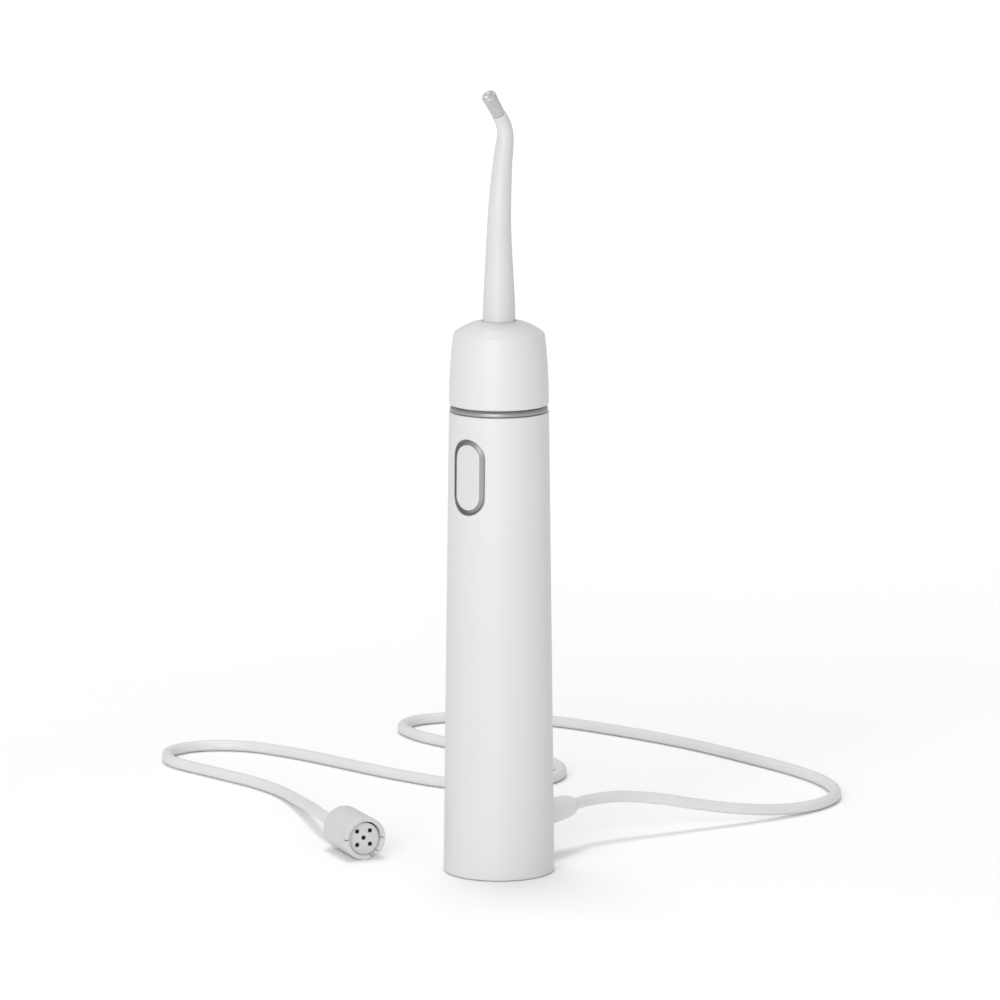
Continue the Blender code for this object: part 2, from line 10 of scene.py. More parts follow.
import bmesh
import bpy
from mathutils import Matrix, Vector


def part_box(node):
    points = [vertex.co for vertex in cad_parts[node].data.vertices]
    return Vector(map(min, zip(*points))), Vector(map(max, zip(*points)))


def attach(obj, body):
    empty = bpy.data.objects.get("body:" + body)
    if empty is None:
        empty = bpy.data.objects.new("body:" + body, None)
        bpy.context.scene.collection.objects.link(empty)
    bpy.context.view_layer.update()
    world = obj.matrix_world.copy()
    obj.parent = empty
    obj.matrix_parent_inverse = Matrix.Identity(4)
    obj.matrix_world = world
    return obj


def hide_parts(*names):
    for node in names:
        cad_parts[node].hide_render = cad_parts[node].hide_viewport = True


MM = 0.001
GAP = 0.3
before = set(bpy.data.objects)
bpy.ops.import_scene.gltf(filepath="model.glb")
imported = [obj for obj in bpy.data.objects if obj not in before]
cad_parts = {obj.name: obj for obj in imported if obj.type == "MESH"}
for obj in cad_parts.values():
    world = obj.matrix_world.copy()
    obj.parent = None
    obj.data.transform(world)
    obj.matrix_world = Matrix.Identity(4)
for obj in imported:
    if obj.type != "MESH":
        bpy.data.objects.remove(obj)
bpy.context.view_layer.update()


def span(node):
    """A CAD node's lowest and highest corner in millimetres."""
    low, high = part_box(node)
    return Vector(low) / MM, Vector(high) / MM


# ---- driving sizes, read from the frame ----
shell_low, shell_high = span("body_housing")
nose_high = span("nose_cone")[1]
bezel_low, bezel_high = span("button_bezel")
relief_low, relief_high = span("strain_relief")

BASE_R = 14.0
TOP_R = 12.5
BODY_TOP = 117.3
WALL = 1.5
SHELL_Z0 = shell_low.z
SPIGOT_TOP = shell_high.z
SPIGOT_R = 10.9
SPIGOT_BORE = 9.4
SHOULDER_Z = 114.0
RING_R = 12.25
RING_Z0 = 117.5
RING_Z1 = 118.8
RING_BORE = 11.2
NOSE_Z0 = 119.1
NOSE_TOP = nose_high.z
NOSE_HOLE = 4.3
NOSE_BORE = 11.2
BUTTON_Z = (bezel_low.z + bezel_high.z) / 2
BEZEL_HALF = 4.85
BEZEL_WIDTH = 1.15
BEZEL_STRAIGHT = 4.7
GROOVE = 0.7
CAP_SINK = 0.05
FACE_CURVE = 0.35
LIP_SINK = 0.22
BEZEL_FOOT = -8.2
FLANGE_HALF = 6.2
POST_R = 1.5
CAP_BACK = -10.4
CORD_R = 1.5
LEAD_Z = (relief_low.z + relief_high.z) / 2
LEAD_HOLE_R = 3.2
AROUND = 192
OUTLINE = 96

# ---- camera ----
VIEW_AZIMUTH = 38.5
VIEW_PITCH = 9.88
VIEW_BACK = 1575.0
VIEW_HEIGHT = 369.0
VIEW_SIDE = 0.25
turn = math.radians(VIEW_AZIMUTH)
camera_data = bpy.data.cameras.new("camera")
camera_data.sensor_width = 36.0
camera_data.lens = 230.08
camera_data.clip_start = 0.05
camera_data.clip_end = 20.0
camera = bpy.data.objects.new("camera", camera_data)
bpy.context.scene.collection.objects.link(camera)
camera.location = (
    (VIEW_SIDE * math.cos(turn) + VIEW_BACK * math.sin(turn)) * MM,
    (VIEW_SIDE * math.sin(turn) - VIEW_BACK * math.cos(turn)) * MM,
    VIEW_HEIGHT * MM,
)
camera.rotation_euler = (math.radians(90 - VIEW_PITCH), 0, turn)
bpy.context.scene.camera = camera


# ---- material building ----
def node(tree, kind, **values):
    """A shader node with its properties and inputs set."""
    made = tree.nodes.new(kind)
    for key, value in values.items():
        if hasattr(made, key):
            setattr(made, key, value)
        else:
            made.inputs[key.replace("_", " ")].default_value = value
    return made


def surface(name, colour, rough, metallic=0.0, vary=0.03, cloud=60.0, grain=900.0, bump=0.02,
            rough_vary=0.05, stretch=(1, 1, 1), soft=0.0, coat=0.0, ior=1.5):
    """A moulded or machined surface: uneven tone, uneven gloss and a fine grain in relief."""
    made = bpy.data.materials.new(name)
    made.use_nodes = True
    made.diffuse_color = (*colour, 1.0)
    tree = made.node_tree
    shader = tree.nodes["Principled BSDF"]
    place = node(tree, "ShaderNodeTexCoord")
    fit = node(tree, "ShaderNodeMapping", Scale=stretch)
    tree.links.new(place.outputs["Object"], fit.inputs["Vector"])
    clouds = node(tree, "ShaderNodeTexNoise", Scale=cloud, Detail=4.0, Roughness=0.55)
    tree.links.new(fit.outputs["Vector"], clouds.inputs["Vector"])
    tone = node(tree, "ShaderNodeValToRGB")
    low, high = tone.color_ramp.elements
    low.position, high.position = 0.3, 0.7
    low.color = (*[max(0.0, c * (1 - vary)) for c in colour], 1.0)
    high.color = (*[min(1.0, c * (1 + vary)) for c in colour], 1.0)
    tree.links.new(clouds.outputs["Fac"], tone.inputs["Fac"])
    tree.links.new(tone.outputs["Color"], shader.inputs["Base Color"])
    fine = node(tree, "ShaderNodeTexNoise", Scale=grain, Detail=3.0, Roughness=0.6)
    tree.links.new(fit.outputs["Vector"], fine.inputs["Vector"])
    gloss = node(tree, "ShaderNodeMapRange")
    gloss.inputs["To Min"].default_value = max(0.02, rough - rough_vary)
    gloss.inputs["To Max"].default_value = min(1.0, rough + rough_vary)
    tree.links.new(fine.outputs["Fac"], gloss.inputs["Value"])
    tree.links.new(gloss.outputs["Result"], shader.inputs["Roughness"])
    relief = node(tree, "ShaderNodeBump", Strength=0.35, Distance=bump * MM)
    tree.links.new(fine.outputs["Fac"], relief.inputs["Height"])
    tree.links.new(relief.outputs["Normal"], shader.inputs["Normal"])
    shader.inputs["Metallic"].default_value = metallic
    shader.inputs["IOR"].default_value = ior
    if soft:
        shader.inputs["Subsurface Weight"].default_value = soft
        shader.inputs["Subsurface Radius"].default_value = (1.0, 1.0, 1.0)
        shader.inputs["Subsurface Scale"].default_value = 1.5 * MM
    if coat:
        shader.inputs["Coat Weight"].default_value = coat
        shader.inputs["Coat Roughness"].default_value = 0.12
    return made


def grey(value):
    """A neutral colour."""
    return (value, value, value)


white_body = surface("white_moulding", grey(0.60), 0.42, vary=0.012, cloud=25, grain=2500, bump=0.006)
white_button = surface("white_button", grey(0.575), 0.4, vary=0.012, cloud=40, grain=2500, bump=0.006)
trim_metal = surface("satin_trim", grey(0.335), 0.4, metallic=0.85, vary=0.05, cloud=300, grain=3000,
                     bump=0.01, stretch=(1, 1, 14))
tip_white = surface("sleeve_moulding", grey(0.565), 0.45, vary=0.012, cloud=80, grain=1500, bump=0.006,
                    soft=0.04)
tip_grey = surface("grey_tip_metal", grey(0.475), 0.4, metallic=0.5, vary=0.05, cloud=400, grain=3000,
                   bump=0.01, stretch=(1, 1, 0.2))
relief_white = surface("soft_relief", grey(0.68), 0.45, vary=0.015, cloud=100, grain=1200, bump=0.02,
                       soft=0.3)
cord_white = surface("soft_cord", grey(0.65), 0.36, vary=0.02, cloud=90, grain=1800, bump=0.02)
plug_white = surface("plug_moulding", grey(0.56), 0.42, vary=0.015, cloud=90, grain=1800, bump=0.01)
plug_core_look = surface("plug_insert_moulding", grey(0.56), 0.5, vary=0.02, cloud=150, grain=1800,
                         bump=0.01)
inner_white = surface("inner_moulding", grey(0.72), 0.5, vary=0.03, cloud=40, grain=1200, bump=0.02)
steel = surface("turned_steel", (0.53, 0.53, 0.54), 0.3, metallic=1.0, vary=0.06, cloud=300, grain=2500,
                bump=0.02, stretch=(1, 1, 10))
rubber = surface("black_rubber", grey(0.045), 0.75, vary=0.12, cloud=120, grain=2200, bump=0.04)
ceramic = surface("fired_ceramic", (0.34, 0.30, 0.24), 0.55, vary=0.1, cloud=400, grain=3000, bump=0.02)
copper = surface("rolled_copper", (0.70, 0.38, 0.22), 0.3, metallic=1.0, vary=0.08, cloud=350, grain=2600,
                 bump=0.01, stretch=(12, 1, 1))
gold = surface("plated_pin", (0.78, 0.60, 0.28), 0.25, metallic=1.0, vary=0.05, cloud=500, grain=3000,
               bump=0.01)
laminate = surface("board_laminate", (0.02, 0.15, 0.07), 0.4, vary=0.35, cloud=700, grain=2600, bump=0.03,
                   coat=0.4)
# Black for the switch parts; the same material also lines the plug's pin holes as painted shade.
black_switch_and_hole_shade = surface("switch_moulding_and_hole_shade", grey(0.09), 0.42, vary=0.08, cloud=300, grain=2400, bump=0.015)
amber = surface("amber_film", (0.72, 0.52, 0.18), 0.3, vary=0.06, cloud=300, grain=1800, bump=0.01, coat=0.3)
wire_red = surface("red_insulation", (0.50, 0.05, 0.04), 0.38, vary=0.06, cloud=200, grain=1800, bump=0.01)
wire_black = surface("black_insulation", grey(0.05), 0.38, vary=0.1, cloud=200, grain=1800, bump=0.01)


# ---- shape building ----
def finish(name, mesh, look, body, cad_nodes, smooth=32.0):
    """Link a mesh as a piece that rides a body and stands for CAD nodes."""
    made = bpy.data.objects.new(name, mesh)
    bpy.context.scene.collection.objects.link(made)
    mesh.materials.clear()
    mesh.materials.append(look)
    mesh.shade_smooth()
    mesh.set_sharp_from_angle(angle=math.radians(smooth))
    if body:
        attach(made, body)
    if cad_nodes:
        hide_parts(*cad_nodes)
    return made


def loft_mesh(name, loops, closed=False):
    """A closed mesh through loops of equal length; a loop of one point is a pole."""
    bm = bmesh.new()
    rows = [[bm.verts.new(Vector(p) * MM) for p in loop] for loop in loops]
    pairs = list(zip(rows, rows[1:]))
    if closed:
        pairs.append((rows[-1], rows[0]))
    for a, b in pairs:
        n = max(len(a), len(b))
        for i in range(n):
            j = (i + 1) % n
            if len(a) == 1:
                bm.faces.new((a[0], b[j], b[i]))
            elif len(b) == 1:
                bm.faces.new((a[i], a[j], b[0]))
            else:
                bm.faces.new((a[i], a[j], b[j], b[i]))
    if not closed:
        for end in (rows[0], rows[-1]):
            if len(end) > 2:
                bm.faces.new(end)
    bmesh.ops.recalc_face_normals(bm, faces=bm.faces)
    mesh = bpy.data.meshes.new(name)
    bm.to_mesh(mesh)
    bm.free()
    return mesh


def ring_loop(radius, height, count):
    """Points of a level circle about the Z axis, or its centre."""
    if radius <= 0:
        return [(0.0, 0.0, height)]
    step = 2 * math.pi / count
    return [(radius * math.cos(i * step), radius * math.sin(i * step), height) for i in range(count)]


def turned_mesh(name, profile, count=AROUND, closed=False):
    """A mesh of revolution about Z from (radius, height) pairs."""
    return loft_mesh(name, [ring_loop(r, z, count) for r, z in profile], closed)


def filleted(profile, fillets, steps=5):
    """The profile with some corners, given by index, rounded over a length along each side."""
    out = []
    last = len(profile) - 1
    for i, p in enumerate(profile):
        if i not in fillets or i == 0 or i == last:
            out.append(p)
            continue
        here = Vector(p)
        before, after = Vector(profile[i - 1]) - here, Vector(profile[i + 1]) - here
        reach = min(fillets[i], 0.45 * before.length, 0.45 * after.length)
        a, b = here + before.normalized() * reach, here + after.normalized() * reach
        for k in range(steps + 1):
            t = k / steps
            spot = a * (1 - t) ** 2 + here * 2 * t * (1 - t) + b * t * t
            out.append((spot.x, spot.y))
    return out


def dense(a, b, step):
    """Points from a to b, without b, at most a step apart."""
    count = max(1, math.ceil(math.dist(a, b) / step))
    return [tuple(u + (v - u) * k / count for u, v in zip(a, b)) for k in range(count)]


def cut_mesh(mesh, tool_mesh):
    """The mesh with another taken out of it, as a new mesh."""
    target = bpy.data.objects.new("cut_target", mesh)
    tool = bpy.data.objects.new("cut_tool", tool_mesh)
    for made in (target, tool):
        bpy.context.scene.collection.objects.link(made)
    step = target.modifiers.new("cut", "BOOLEAN")
    step.operation = "DIFFERENCE"
    step.solver = "EXACT"
    step.object = tool
    done = bpy.data.meshes.new_from_object(target.evaluated_get(bpy.context.evaluated_depsgraph_get()))
    done.name = mesh.name + "_cut"
    for made in (target, tool):
        bpy.data.objects.remove(made)
    return done


def body_radius(z):
    """Outer radius of the shell at a height."""
    return BASE_R + (TOP_R - BASE_R) * z / BODY_TOP


def stadium(half, straight, count):
    """A rounded slot outline as (x, z) pairs."""
    points = []
    ends = count // 2
    for side in (1, -1):
        for i in range(ends):
            angle = math.pi * (i + 0.5) / ends
            points.append((side * half * math.cos(angle), side * (straight + half * math.sin(angle))))
    return points


def slot_loop(half, straight, y, count=OUTLINE):
    """The outline at one depth."""
    return [(x, y, BUTTON_Z + z) for x, z in stadium(half, straight, count)]


def face_loop(half, straight, sink, count=OUTLINE):
    """The outline on the button's face, which curves less than the shell, sunk from its foremost line."""
    points = []
    for x, z in stadium(half, straight, count):
        r = body_radius(BUTTON_Z + z)
        drop = r - math.sqrt(r * r - x * x)
        points.append((x, sink + FACE_CURVE * drop - r, BUTTON_Z + z))
    return points


def skin_loop(half, straight, raise_by, count=OUTLINE):
    """The outline laid on the shell's outer surface, raised or sunk."""
    points = []
    for x, z in stadium(half, straight, count):
        r = body_radius(BUTTON_Z + z)
        points.append((x, -math.sqrt(r * r - x * x) - raise_by, BUTTON_Z + z))
    return points


def smooth_line(points, steps):
    """A centripetal curve through the points."""
    pts = [Vector(p) for p in points]
    pts = [2 * pts[0] - pts[1]] + pts + [2 * pts[-1] - pts[-2]]
    line = []
    for i in range(1, len(pts) - 2):
        p0, p1, p2, p3 = pts[i - 1:i + 3]
        t0 = 0.0
        t1 = t0 + math.sqrt((p1 - p0).length)
        t2 = t1 + math.sqrt((p2 - p1).length)
        t3 = t2 + math.sqrt((p3 - p2).length)
        for k in range(steps):
            t = t1 + (t2 - t1) * k / steps
            a1 = p0 * ((t1 - t) / (t1 - t0)) + p1 * ((t - t0) / (t1 - t0))
            a2 = p1 * ((t2 - t) / (t2 - t1)) + p2 * ((t - t1) / (t2 - t1))
            a3 = p2 * ((t3 - t) / (t3 - t2)) + p3 * ((t - t2) / (t3 - t2))
            b1 = a1 * ((t2 - t) / (t2 - t0)) + a2 * ((t - t0) / (t2 - t0))
            b2 = a2 * ((t3 - t) / (t3 - t1)) + a3 * ((t - t1) / (t3 - t1))
            line.append(b1 * ((t2 - t) / (t2 - t1)) + b2 * ((t - t1) / (t2 - t1)))
    line.append(pts[-2])
    return line


def evenly(line, count):
    """The same line as points at even distances."""
    ends = [0.0]
    for a, b in zip(line, line[1:]):
        ends.append(ends[-1] + (b - a).length)
    out, j = [], 0
    for i in range(count):
        want = ends[-1] * i / (count - 1)
        while j < len(line) - 2 and ends[j + 1] < want:
            j += 1
        share = (want - ends[j]) / (ends[j + 1] - ends[j])
        out.append(line[j].lerp(line[j + 1], min(max(share, 0.0), 1.0)))
    return out


# ---- cord, plug and strain relief ----
PLUG_R = 5.5
PLUG_LENGTH = 16.4
PLUG_REAR = (-47.4, -5.2, 5.5)
PLUG_TURN = -28.5
PLUG_NECK = 3.0
ROUTE = (
    (0, 30.7, 11.4), (0, 37, 11.4), (2.6, 46.5, 11.1), (7.4, 57.5, 9.2), (12.2, 68.5, 6.4),
    (17, 79.7, 4), (21, 91.5, 2.3), (23.2, 104, 1.6), (21.6, 114.5, 1.5), (16.2, 123, 1.5),
    (7, 130.2, 1.5), (-6, 135.8, 1.5), (-22, 140.1, 1.5), (-50, 145.8, 1.5), (-80, 147.4, 1.5),
    (-97, 146.2, 1.5), (-110.5, 142.2, 1.5), (-121.5, 134, 1.5), (-127.6, 123, 1.5),
    (-125, 114, 1.5), (-115.5, 108.2, 1.5), (-100, 105.4, 1.5), (-80, 104.6, 1.5),
    (-66, 103.8, 1.5), (-57.2, 98.6, 1.5), (-52, 90, 1.5), (-52.4, 80.5, 1.5), (-57.6, 71.6, 1.5),
    (-68.5, 66, 1.5), (-86, 65.2, 1.5), (-128, 68.8, 1.5), (-143, 67, 1.5), (-152.6, 59.2, 1.5),
    (-154, 49.4, 1.5), (-146, 40.6, 1.5), (-129, 37, 1.5), (-110, 33.8, 1.5), (-97, 29.2, 1.6),
    (-83, 20.2, 2.5), (-70, 10, 4.2),
)
CORD_POINTS = 700
plug_way = Vector((math.cos(math.radians(PLUG_TURN)), math.sin(math.radians(PLUG_TURN)), 0))
cord_end = Vector(PLUG_REAR) - plug_way * (PLUG_NECK + GAP)
route = list(ROUTE) + [cord_end - plug_way * 8.0 - Vector((0, 0, 0.15)), cord_end]
cord_line = evenly(smooth_line(route, 24), CORD_POINTS)
cord_data = bpy.data.curves.new("lead", "CURVE")
cord_data.dimensions = "3D"
cord_spline = cord_data.splines.new("POLY")
cord_spline.points.add(len(cord_line) - 1)
for spot, p in zip(cord_spline.points, cord_line):
    spot.co = (p.x * MM, p.y * MM, p.z * MM, 1.0)
cord_data.bevel_depth = CORD_R * MM
cord_data.bevel_resolution = 6
cord_data.use_fill_caps = True
cord_data.materials.append(cord_white)
cord = bpy.data.objects.new("lead", cord_data)
bpy.context.scene.collection.objects.link(cord)
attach(cord, "handle")
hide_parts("cord")

relief_profile = filleted(
    ((0, 9.4), (3.5, 9.4), (3.7, 9.6), (3.7, 11.0), (2.85, 11.0), (2.85, 14.15), (3.5, 14.2), (3.5, 15.0),
     (3.35, 20.5), (3.1, 25.5), (2.85, 28.0), (2.4, 29.5), (1.7, 30.35), (1.52, 30.4), (0, 30.4)),
    {6: 0.3, 7: 0.5, 8: 2.0, 9: 1.5, 10: 1.0, 11: 0.8, 12: 0.3})
relief_mesh = turned_mesh("relief", relief_profile, 96)
relief_mesh.transform(Matrix.Translation((0, 0, LEAD_Z * MM)) @ Matrix.Rotation(-math.pi / 2, 4, "X"))
relief = finish("relief_boot", relief_mesh, relief_white, "handle", ["strain_relief"])

plug_place = Matrix.Translation(Vector(PLUG_REAR) * MM) @ Matrix.Rotation(math.radians(PLUG_TURN), 4, "Z")
plug_place = plug_place @ Matrix.Rotation(math.pi / 2, 4, "Y")
PLUG_BORE = 4.4
CORE_FOOT = 6.3
INSERT_DROP = 0.22
shell_profile = filleted(
    ((1.9, 0.0), (PLUG_R - 0.8, 0.0), (PLUG_R, 0.9), (PLUG_R, PLUG_LENGTH), (PLUG_BORE, PLUG_LENGTH),
     (PLUG_BORE, 6.0), (1.9, 6.0)), {1: 0.5, 2: 0.8, 3: 0.3, 4: 0.15})
plug_mesh = turned_mesh("plug_body", shell_profile, 128, closed=True)
KEY_WAY = 30.0
KEY_WIDTH = 2.6
KEY_DEPTH = 2.4
SLIT_WIDTH = 0.35
SLIT_DEPTH = 1.5
for half_width, depth, near, far, angle in (
        (KEY_WIDTH / 2, KEY_DEPTH, 2.0, 8.0, KEY_WAY), (SLIT_WIDTH / 2, SLIT_DEPTH, -7.0, 7.0, 90.0)):
    side = [(near, -half_width), (far, -half_width), (far, half_width), (near, half_width)]
    ends = (PLUG_LENGTH - depth, PLUG_LENGTH + 1)
    notch = loft_mesh("notch", [[(x, y, z) for x, y in side] for z in ends])
    notch.transform(Matrix.Rotation(math.radians(angle), 4, "Z"))
    plug_mesh = cut_mesh(plug_mesh, notch)
plug_mesh.transform(plug_place)
plug_shell = finish("plug_body", plug_mesh, plug_white, "handle", ["plug_shell"])

PIN_PITCH = 1.75
PIN_HOLE = 0.6
CUP_FOOT = 7.6
CUP_R = PIN_HOLE - 0.01
CUP_BORE = PIN_HOLE - 0.08
INSERT_R = PLUG_BORE - INSERT_DROP - 0.03
INSERT_FACE = PLUG_LENGTH - 1.3
insert_profile = filleted(
    ((0, CORE_FOOT), (INSERT_R, CORE_FOOT), (INSERT_R, INSERT_FACE), (0, INSERT_FACE)), {1: 0.15, 2: 0.05})
insert_mesh = turned_mesh("plug_core", insert_profile, 96)
insert_mesh.transform(Matrix.Translation((INSERT_DROP * MM, 0, 0)))
spots = [(0.0, 0.0)] + [(sx * PIN_PITCH, sy * PIN_PITCH) for sx in (-1, 1) for sy in (-1, 1)]
for x, y in spots:
    pin_tool = turned_mesh("pin_tool", ((PIN_HOLE, CUP_FOOT - 0.1), (PIN_HOLE, PLUG_LENGTH + 1)), 32)
    pin_tool.transform(Matrix.Translation((x * MM, y * MM, 0)))
    insert_mesh = cut_mesh(insert_mesh, pin_tool)
# The black cups below line the five pin holes. They are painted shade: a dark lining that stands in for the
# shade deep inside each hole.
cup_profile = filleted(
    ((0, CUP_FOOT), (CUP_R, CUP_FOOT), (CUP_R, INSERT_FACE - 0.05), (CUP_BORE, INSERT_FACE - 0.05),
     (CUP_BORE, CUP_FOOT + 0.3), (0, CUP_FOOT + 0.3)), {2: 0.03, 3: 0.03})
shade_cups = []
for n, (x, y) in enumerate(spots, 1):
    cup_mesh = turned_mesh("hole_shade_cup_%d" % n, cup_profile, 24)
    cup_mesh.transform(plug_place @ Matrix.Translation((x * MM, y * MM, 0)))
    shade_cups.append(finish("hole_shade_cup_%d" % n, cup_mesh, black_switch_and_hole_shade, "handle", []))
insert_mesh.transform(plug_place)
plug_core = finish("plug_core", insert_mesh, plug_core_look, "handle", ["plug_insert"])

cord_pieces = [plug_shell, plug_core, relief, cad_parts["plug_back"]] + shade_cups
for n in range(1, 6):
    cord_pieces.append(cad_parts["plug_contact_%d" % n])

# ---- body shell ----
outer_wall = dense((body_radius(1.0), 1.0), (body_radius(BODY_TOP - 0.35), BODY_TOP - 0.35), 1.0)
foot_edge = filleted(((BASE_R - 0.5, SHELL_Z0), (body_radius(SHELL_Z0), SHELL_Z0), outer_wall[0]), {1: 0.35})
top_edge = filleted((outer_wall[-1], (TOP_R, BODY_TOP), (TOP_R - 0.8, BODY_TOP)), {1: 0.3})
wall_top = (body_radius(SHOULDER_Z - 1.5) - WALL, SHOULDER_Z - 1.5)
wall_foot = (body_radius(SHELL_Z0) - WALL, SHELL_Z0)
inner_wall = dense(wall_top, wall_foot, 4.0)
shell_outline = (
    foot_edge[:-1] + outer_wall[:-1] + top_edge
    + [(SPIGOT_R, BODY_TOP), (SPIGOT_R, SPIGOT_TOP - 0.3), (SPIGOT_R - 0.3, SPIGOT_TOP),
       (SPIGOT_BORE, SPIGOT_TOP), (SPIGOT_BORE, SHOULDER_Z)]
    + inner_wall + [wall_foot]
)
shell_mesh = turned_mesh("shell", shell_outline, 256, closed=True)
opening_loops = [slot_loop(BEZEL_HALF + 0.06, BEZEL_STRAIGHT, y) for y in (-16.0, -7.5)]
button_tool = loft_mesh("button_tool", opening_loops)
shell_mesh = cut_mesh(shell_mesh, button_tool)
lead_tool = turned_mesh("lead_tool", ((LEAD_HOLE_R, 9.0), (LEAD_HOLE_R, 17.0)), 64)
lead_tool.transform(Matrix.Translation((0, 0, LEAD_Z * MM)) @ Matrix.Rotation(-math.pi / 2, 4, "X"))
shell_mesh = cut_mesh(shell_mesh, lead_tool)
finish("shell", shell_mesh, white_body, "handle", ["body_housing"])

# ---- accent ring ----
ring_profile = filleted(
    ((RING_BORE, RING_Z0), (RING_R, RING_Z0), (RING_R, RING_Z0 + 0.75), (RING_R - 0.5, RING_Z1),
     (RING_BORE, RING_Z1)), {1: 0.1, 2: 0.2})
finish("trim_ring", turned_mesh("trim_ring", ring_profile, AROUND, closed=True), trim_metal, "handle",
       ["accent_ring"])

# ---- nose ----
nose_side = smooth_line([(12.48, 0, NOSE_Z0 + 0.3), (12.37, 0, 125.0), (12.12, 0, 129.5), (11.9, 0, 132.5),
                         (11.4, 0, 136.8)], 6)
nose_dome = smooth_line([(11.1, 0, 137.2), (8.4, 0, 138.85), (6.3, 0, 139.7),
                         (NOSE_HOLE + 0.1, 0, NOSE_TOP)], 4)
nose_outline = [(12.25, NOSE_Z0)] + [(p.x, p.z) for p in nose_side + nose_dome]
nose_outline += [(NOSE_HOLE, NOSE_TOP - 0.1), (NOSE_HOLE, 138.4),
                 (9.7, 136.0), (9.7, 131.0), (NOSE_BORE, 129.5), (NOSE_BORE, NOSE_Z0)]
nose_corner = {1: 0.2, len(nose_side): 0.3, len(nose_side) + 1: 0.3}
finish("nose_shell", turned_mesh("nose_shell", filleted(nose_outline, nose_corner), AROUND, closed=True),
       white_body, "nose", ["nose_cone"], smooth=24)

# ---- bent tip ----
TIP_FOOT = 131.5
FLANGE_TOP = 132.6
FLANGE_R = 5.6
COLLAR_R = 4.2
TIP_LINE = ((0.0, TIP_FOOT), (0.0, 140.0), (0.0, 150.0), (0.0, 160.0), (0.15, 166.0), (0.6, 172.0),
            (1.25, 178.0), (1.95, 182.3), (2.45, 185.0), (2.4, 187.2), (1.4, 189.6), (-0.2, 191.7))
TIP_RADII = ((TIP_FOOT, 4.15), (142.5, 4.05), (152.5, 3.55), (162.5, 3.05), (172.5, 2.7), (179.5, 2.4),
             (183.0, 2.28), (186.8, 2.02), (189.6, 1.88), (192.0, 1.8))
TIP_ROWS = 120
BORE_LEAST = 1.35
BORE_MOST = 2.9
STEM_R = 1.0
STEM_LENGTH = 3.0
WORK_BASE_R = 1.66
WORK_R = 1.88
WORK_LENGTH = 6.2


def read_off(pairs, at):
    """Straight-line reading of (position, value) pairs."""
    for (a, u), (b, v) in zip(pairs, pairs[1:]):
        if at <= b:
            return u + (v - u) * max(0.0, (at - a) / (b - a))
    return pairs[-1][1]


def level_ring(centre, along, radius, count=64):
    """A circle square to a direction in the YZ plane."""
    across = Vector((0.0, along.z, -along.y))
    out = []
    for i in range(count):
        angle = 2 * math.pi * i / count
        out.append(centre + Vector((1, 0, 0)) * radius * math.cos(angle) + across * radius * math.sin(angle))
    return out


tip_line = evenly(smooth_line([(0.0, y, z) for y, z in TIP_LINE], 20), TIP_ROWS)
radius_line = smooth_line([(r, 0.0, z) for z, r in TIP_RADII], 12)
smooth_radii = [(p.z, p.x) for p in radius_line]
outer_loops, inner_loops = [], []
for i, p in enumerate(tip_line):
    ahead = (tip_line[min(i + 1, TIP_ROWS - 1)] - tip_line[max(i - 1, 0)]).normalized()
    outer = read_off(smooth_radii, p.z)
    edge = 0.12 if i == TIP_ROWS - 1 else 0.0
    outer_loops.append(level_ring(p, ahead, outer - edge))
    inner_loops.append(level_ring(p, ahead, max(BORE_LEAST, min(BORE_MOST, outer - 1.0))))
up = Vector((0, 0, 1))
flange = []
for z, r in ((TIP_FOOT, FLANGE_R), (FLANGE_TOP, FLANGE_R), (FLANGE_TOP, COLLAR_R)):
    flange.append(level_ring(Vector((0, 0, z)), up, r))
start = next(i for i, p in enumerate(tip_line) if p.z > FLANGE_TOP + 0.2)
sleeve_mesh = loft_mesh("sleeve", flange + outer_loops[start:] + inner_loops[::-1], closed=True)
finish("sleeve", sleeve_mesh, tip_white, "tip", ["tip_sleeve"])

tip_end = tip_line[-1]
tip_way = (tip_line[-1] - tip_line[-4]).normalized()
stem_foot = tip_end - tip_way * STEM_LENGTH
foot = STEM_LENGTH + 0.06
face = STEM_LENGTH + GAP + WORK_LENGTH
work_steps = (
    (0.0, STEM_R), (foot - 0.02, STEM_R), (foot, WORK_BASE_R - 0.12), (foot + 0.08, WORK_BASE_R - 0.03),
    (foot + 0.2, WORK_BASE_R), (face - 3.6, WORK_BASE_R + 0.08), (face - 1.6, WORK_BASE_R + 0.14),
    (face - 1.1, WORK_R - 0.02), (face - 0.4, WORK_R), (face - 0.16, WORK_R - 0.06),
    (face - 0.03, WORK_R - 0.18), (face, WORK_R - 0.32), (face - 0.04, 1.4), (face - 0.3, 1.2),
    (face - 0.5, 0.85), (face - 0.6, 0.4))
work_mesh = loft_mesh("point", [level_ring(stem_foot + tip_way * s, tip_way, r) for s, r in work_steps])
finish("metal_point", work_mesh, tip_grey, "tip", ["working_tip"], smooth=40)

